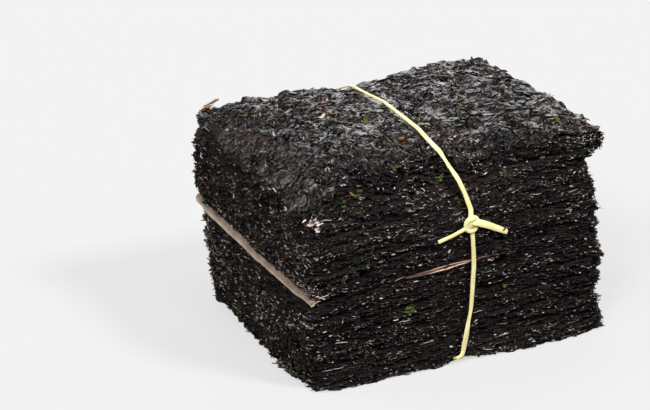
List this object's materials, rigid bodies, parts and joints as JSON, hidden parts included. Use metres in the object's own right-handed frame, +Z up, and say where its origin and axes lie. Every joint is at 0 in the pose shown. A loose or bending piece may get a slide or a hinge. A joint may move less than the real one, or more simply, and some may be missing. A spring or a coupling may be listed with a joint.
{
  "type": "tied stack of nori sheets",
  "caption": "Rectangular stack of folded rough nori sheets with ragged edges and a matted top, a paper slip between its two halves and a knotted straw tie round its middle.",
  "frame": {"origin": "on the resting plane, under the middle of the whole object's bounding box", "axes": "+Z up through the stack; +X along the long sides, to the right seen from the front; -Y out of the front, where the knot of the tie is"},
  "size_m": [0.207, 0.159, 0.1329],
  "materials": {
    "laver": "dark matted dried seaweed with a low sheen",
    "slip_paper": "matt tan paper",
    "straw": "satin dry straw"
  },
  "bodies": {
    "root": {"packet_01": "laver", "packet_02": "laver", "packet_03": "laver", "packet_04": "laver", "packet_05": "laver", "packet_06": "laver", "packet_07": "laver", "packet_08": "laver", "packet_09": "laver", "packet_10": "laver", "paper_slip": "slip_paper", "straw_tie": "straw"}
  },
  "joints": []
}
